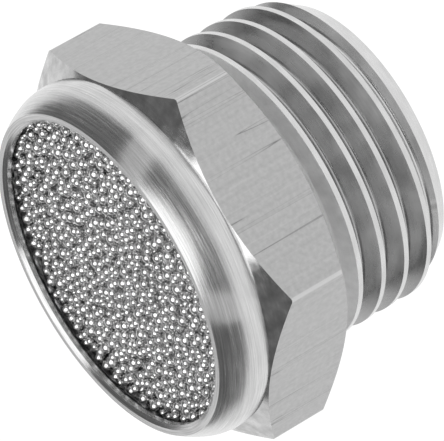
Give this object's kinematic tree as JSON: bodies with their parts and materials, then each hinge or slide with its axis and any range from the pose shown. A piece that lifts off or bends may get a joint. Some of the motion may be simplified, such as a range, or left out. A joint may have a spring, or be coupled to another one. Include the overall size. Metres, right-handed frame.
{
  "type": "pneumatic muffler",
  "caption": "Flat stainless exhaust silencer: hexagon body with a male parallel pipe thread and a rolled collar holding a sintered ball disc.",
  "frame": {"origin": "centre of the nipple's end face, at the bottom of the object", "axes": "+Z along the thread's axis, from the thread's end to the sintered disc; two opposite hexagon corners lie on the X axis and two flats face +Y and -Y"},
  "size_m": [0.0276, 0.024, 0.0192],
  "materials": {
    "turned_stainless": "bright turned and drawn stainless steel, with drawn streaks on the flats and fine turning lines on the collar",
    "sintered_stainless": "bright stainless steel balls sintered together, with dark gaps between them"
  },
  "bodies": {
    "root": {"silencer_body": "turned_stainless", "sintered_disc": "sintered_stainless"}
  },
  "joints": []
}
